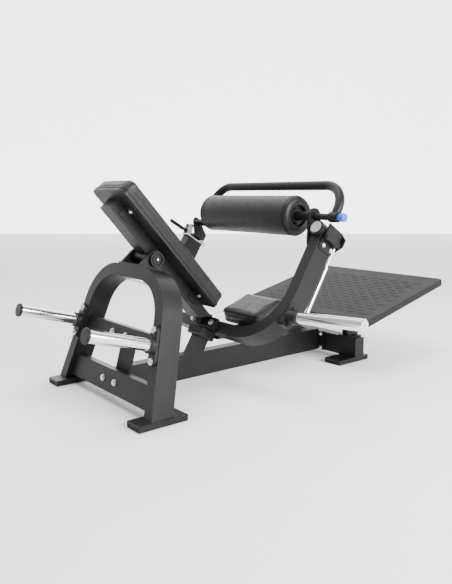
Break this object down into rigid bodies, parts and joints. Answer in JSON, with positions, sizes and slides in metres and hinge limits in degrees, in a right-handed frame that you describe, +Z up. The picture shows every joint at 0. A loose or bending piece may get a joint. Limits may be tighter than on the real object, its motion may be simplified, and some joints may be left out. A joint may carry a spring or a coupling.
{
  "type": "hip thrust machine",
  "caption": "Plate-loaded hip thrust machine: pivoting back pad and seat lever, swing-over padded roller with handle, plate horns, and an angled foot platform.",
  "frame": {"origin": "on the floor, under the centre of the whole machine's bounding box", "axes": "+X from the back pad to the foot platform, +Y towards the latch side (away from the gate's hinge), +Z up"},
  "size_m": [2.102, 1.7474, 0.9445],
  "materials": {
    "frame_coat": "satin charcoal powder coat",
    "black_rubber": "matt moulded rubber",
    "vinyl": "fine-grained coated upholstery vinyl",
    "board": "black-stained plywood",
    "chrome": "polished chrome plate",
    "steel": "plain machined steel",
    "zinc": "bright zinc plate",
    "black_plastic": "moulded plastic, matt",
    "blue_plastic": "glossy moulded plastic",
    "cap_metal": "tumbled, mottled"
  },
  "bodies": {
    "base": {"arch_frame": "frame_coat", "lower_crossbar": "frame_coat", "upper_crossbar": "frame_coat", "upright_plate": "frame_coat", "main_beam": "frame_coat", "beam_flange": "frame_coat", "rear_crossmember": "frame_coat", "crossmember_caps": "black_plastic", "foot_plates": "frame_coat", "foot_pads": "black_rubber", "bumper_post": "frame_coat", "bumper_plate": "frame_coat", "bumper_block": "black_rubber", "pivot_bracket": "frame_coat", "pivot_bushings": "black_plastic", "storage_horn_bases": "frame_coat", "storage_horns": "chrome", "storage_horn_caps": "black_plastic", "frame_bolts": "zinc", "platform_mat": "black_rubber", "platform_plate": "frame_coat", "platform_rails": "frame_coat", "platform_brackets": "frame_coat"},
    "lever": {"back_rail": "frame_coat", "back_rail_cap": "black_plastic", "pivot_sleeve": "frame_coat", "pivot_shaft": "steel", "pivot_end_bolts": "frame_coat", "rail_flange": "frame_coat", "yoke": "frame_coat", "back_board": "board", "back_pad": "vinyl", "pad_brackets": "frame_coat", "lever_bolts": "zinc", "seat_support": "frame_coat", "seat_board": "board", "seat_pad": "vinyl", "belt_ring": "steel", "load_horn_hubs": "frame_coat", "load_horns": "chrome", "load_horn_caps": "chrome", "gate_barrel": "frame_coat", "tray_bracket": "frame_coat", "tray_liner": "black_rubber", "latch_plate": "steel", "strut_cylinder": "chrome"},
    "gate": {"gate_shaft": "steel", "gate_cap": "cap_metal", "gate_arm": "frame_coat", "index_plate": "frame_coat", "roller_shaft": "frame_coat", "far_end_plate": "frame_coat"},
    "roller": {"roller_pad": "vinyl", "roller_core": "frame_coat"},
    "handle": {"handle_loop": "frame_coat", "handle_hubs": "frame_coat"},
    "knob": {"pull_knob": "blue_plastic"},
    "latch": {"latch_lever": "black_plastic"},
    "strut_rod": {"strut_rod": "chrome"}
  },
  "joints": [
    {"name": "lever_pivot", "type": "hinge", "parent": "base", "child": "lever", "pos_m": [-0.5848, 0, 0.607], "axis": [0, -1, 0], "range_deg": [0, 45]},
    {"name": "gate_hinge", "type": "hinge", "parent": "lever", "child": "gate", "pos_m": [0.01262, -0.464, 0.73356], "axis": [0.8508, 0, -0.5255], "range_deg": [0, 80]},
    {"name": "roller_spin", "type": "hinge", "parent": "gate", "child": "roller", "pos_m": [0.02941, 0, 0.78548], "axis": [0, 1, 0], "continuous": true},
    {"name": "handle_tilt", "type": "hinge", "parent": "gate", "child": "handle", "pos_m": [0.02941, 0, 0.78548], "axis": [0, 1, 0], "range_deg": [-45, 0]},
    {"name": "knob_pull", "type": "slide", "parent": "handle", "child": "knob", "axis": [0, -1, 0], "range_m": [0, 0.01], "stiffness_N_per_m": 800, "springref_m": -0.002},
    {"name": "latch_hinge", "type": "hinge", "parent": "lever", "child": "latch", "pos_m": [-0.02101, 0.468, 0.67911], "axis": [0, 1, 0], "range_deg": [0, 30]},
    {"name": "strut_slide", "type": "slide", "parent": "lever", "child": "strut_rod", "axis": [0.5255, 0, 0.8508], "range_m": [0, 0.0185]}
  ],
  "couplings": [
    {"joint": "strut_slide", "follows": "gate_hinge", "m_per_rad": 0.0128}
  ]
}
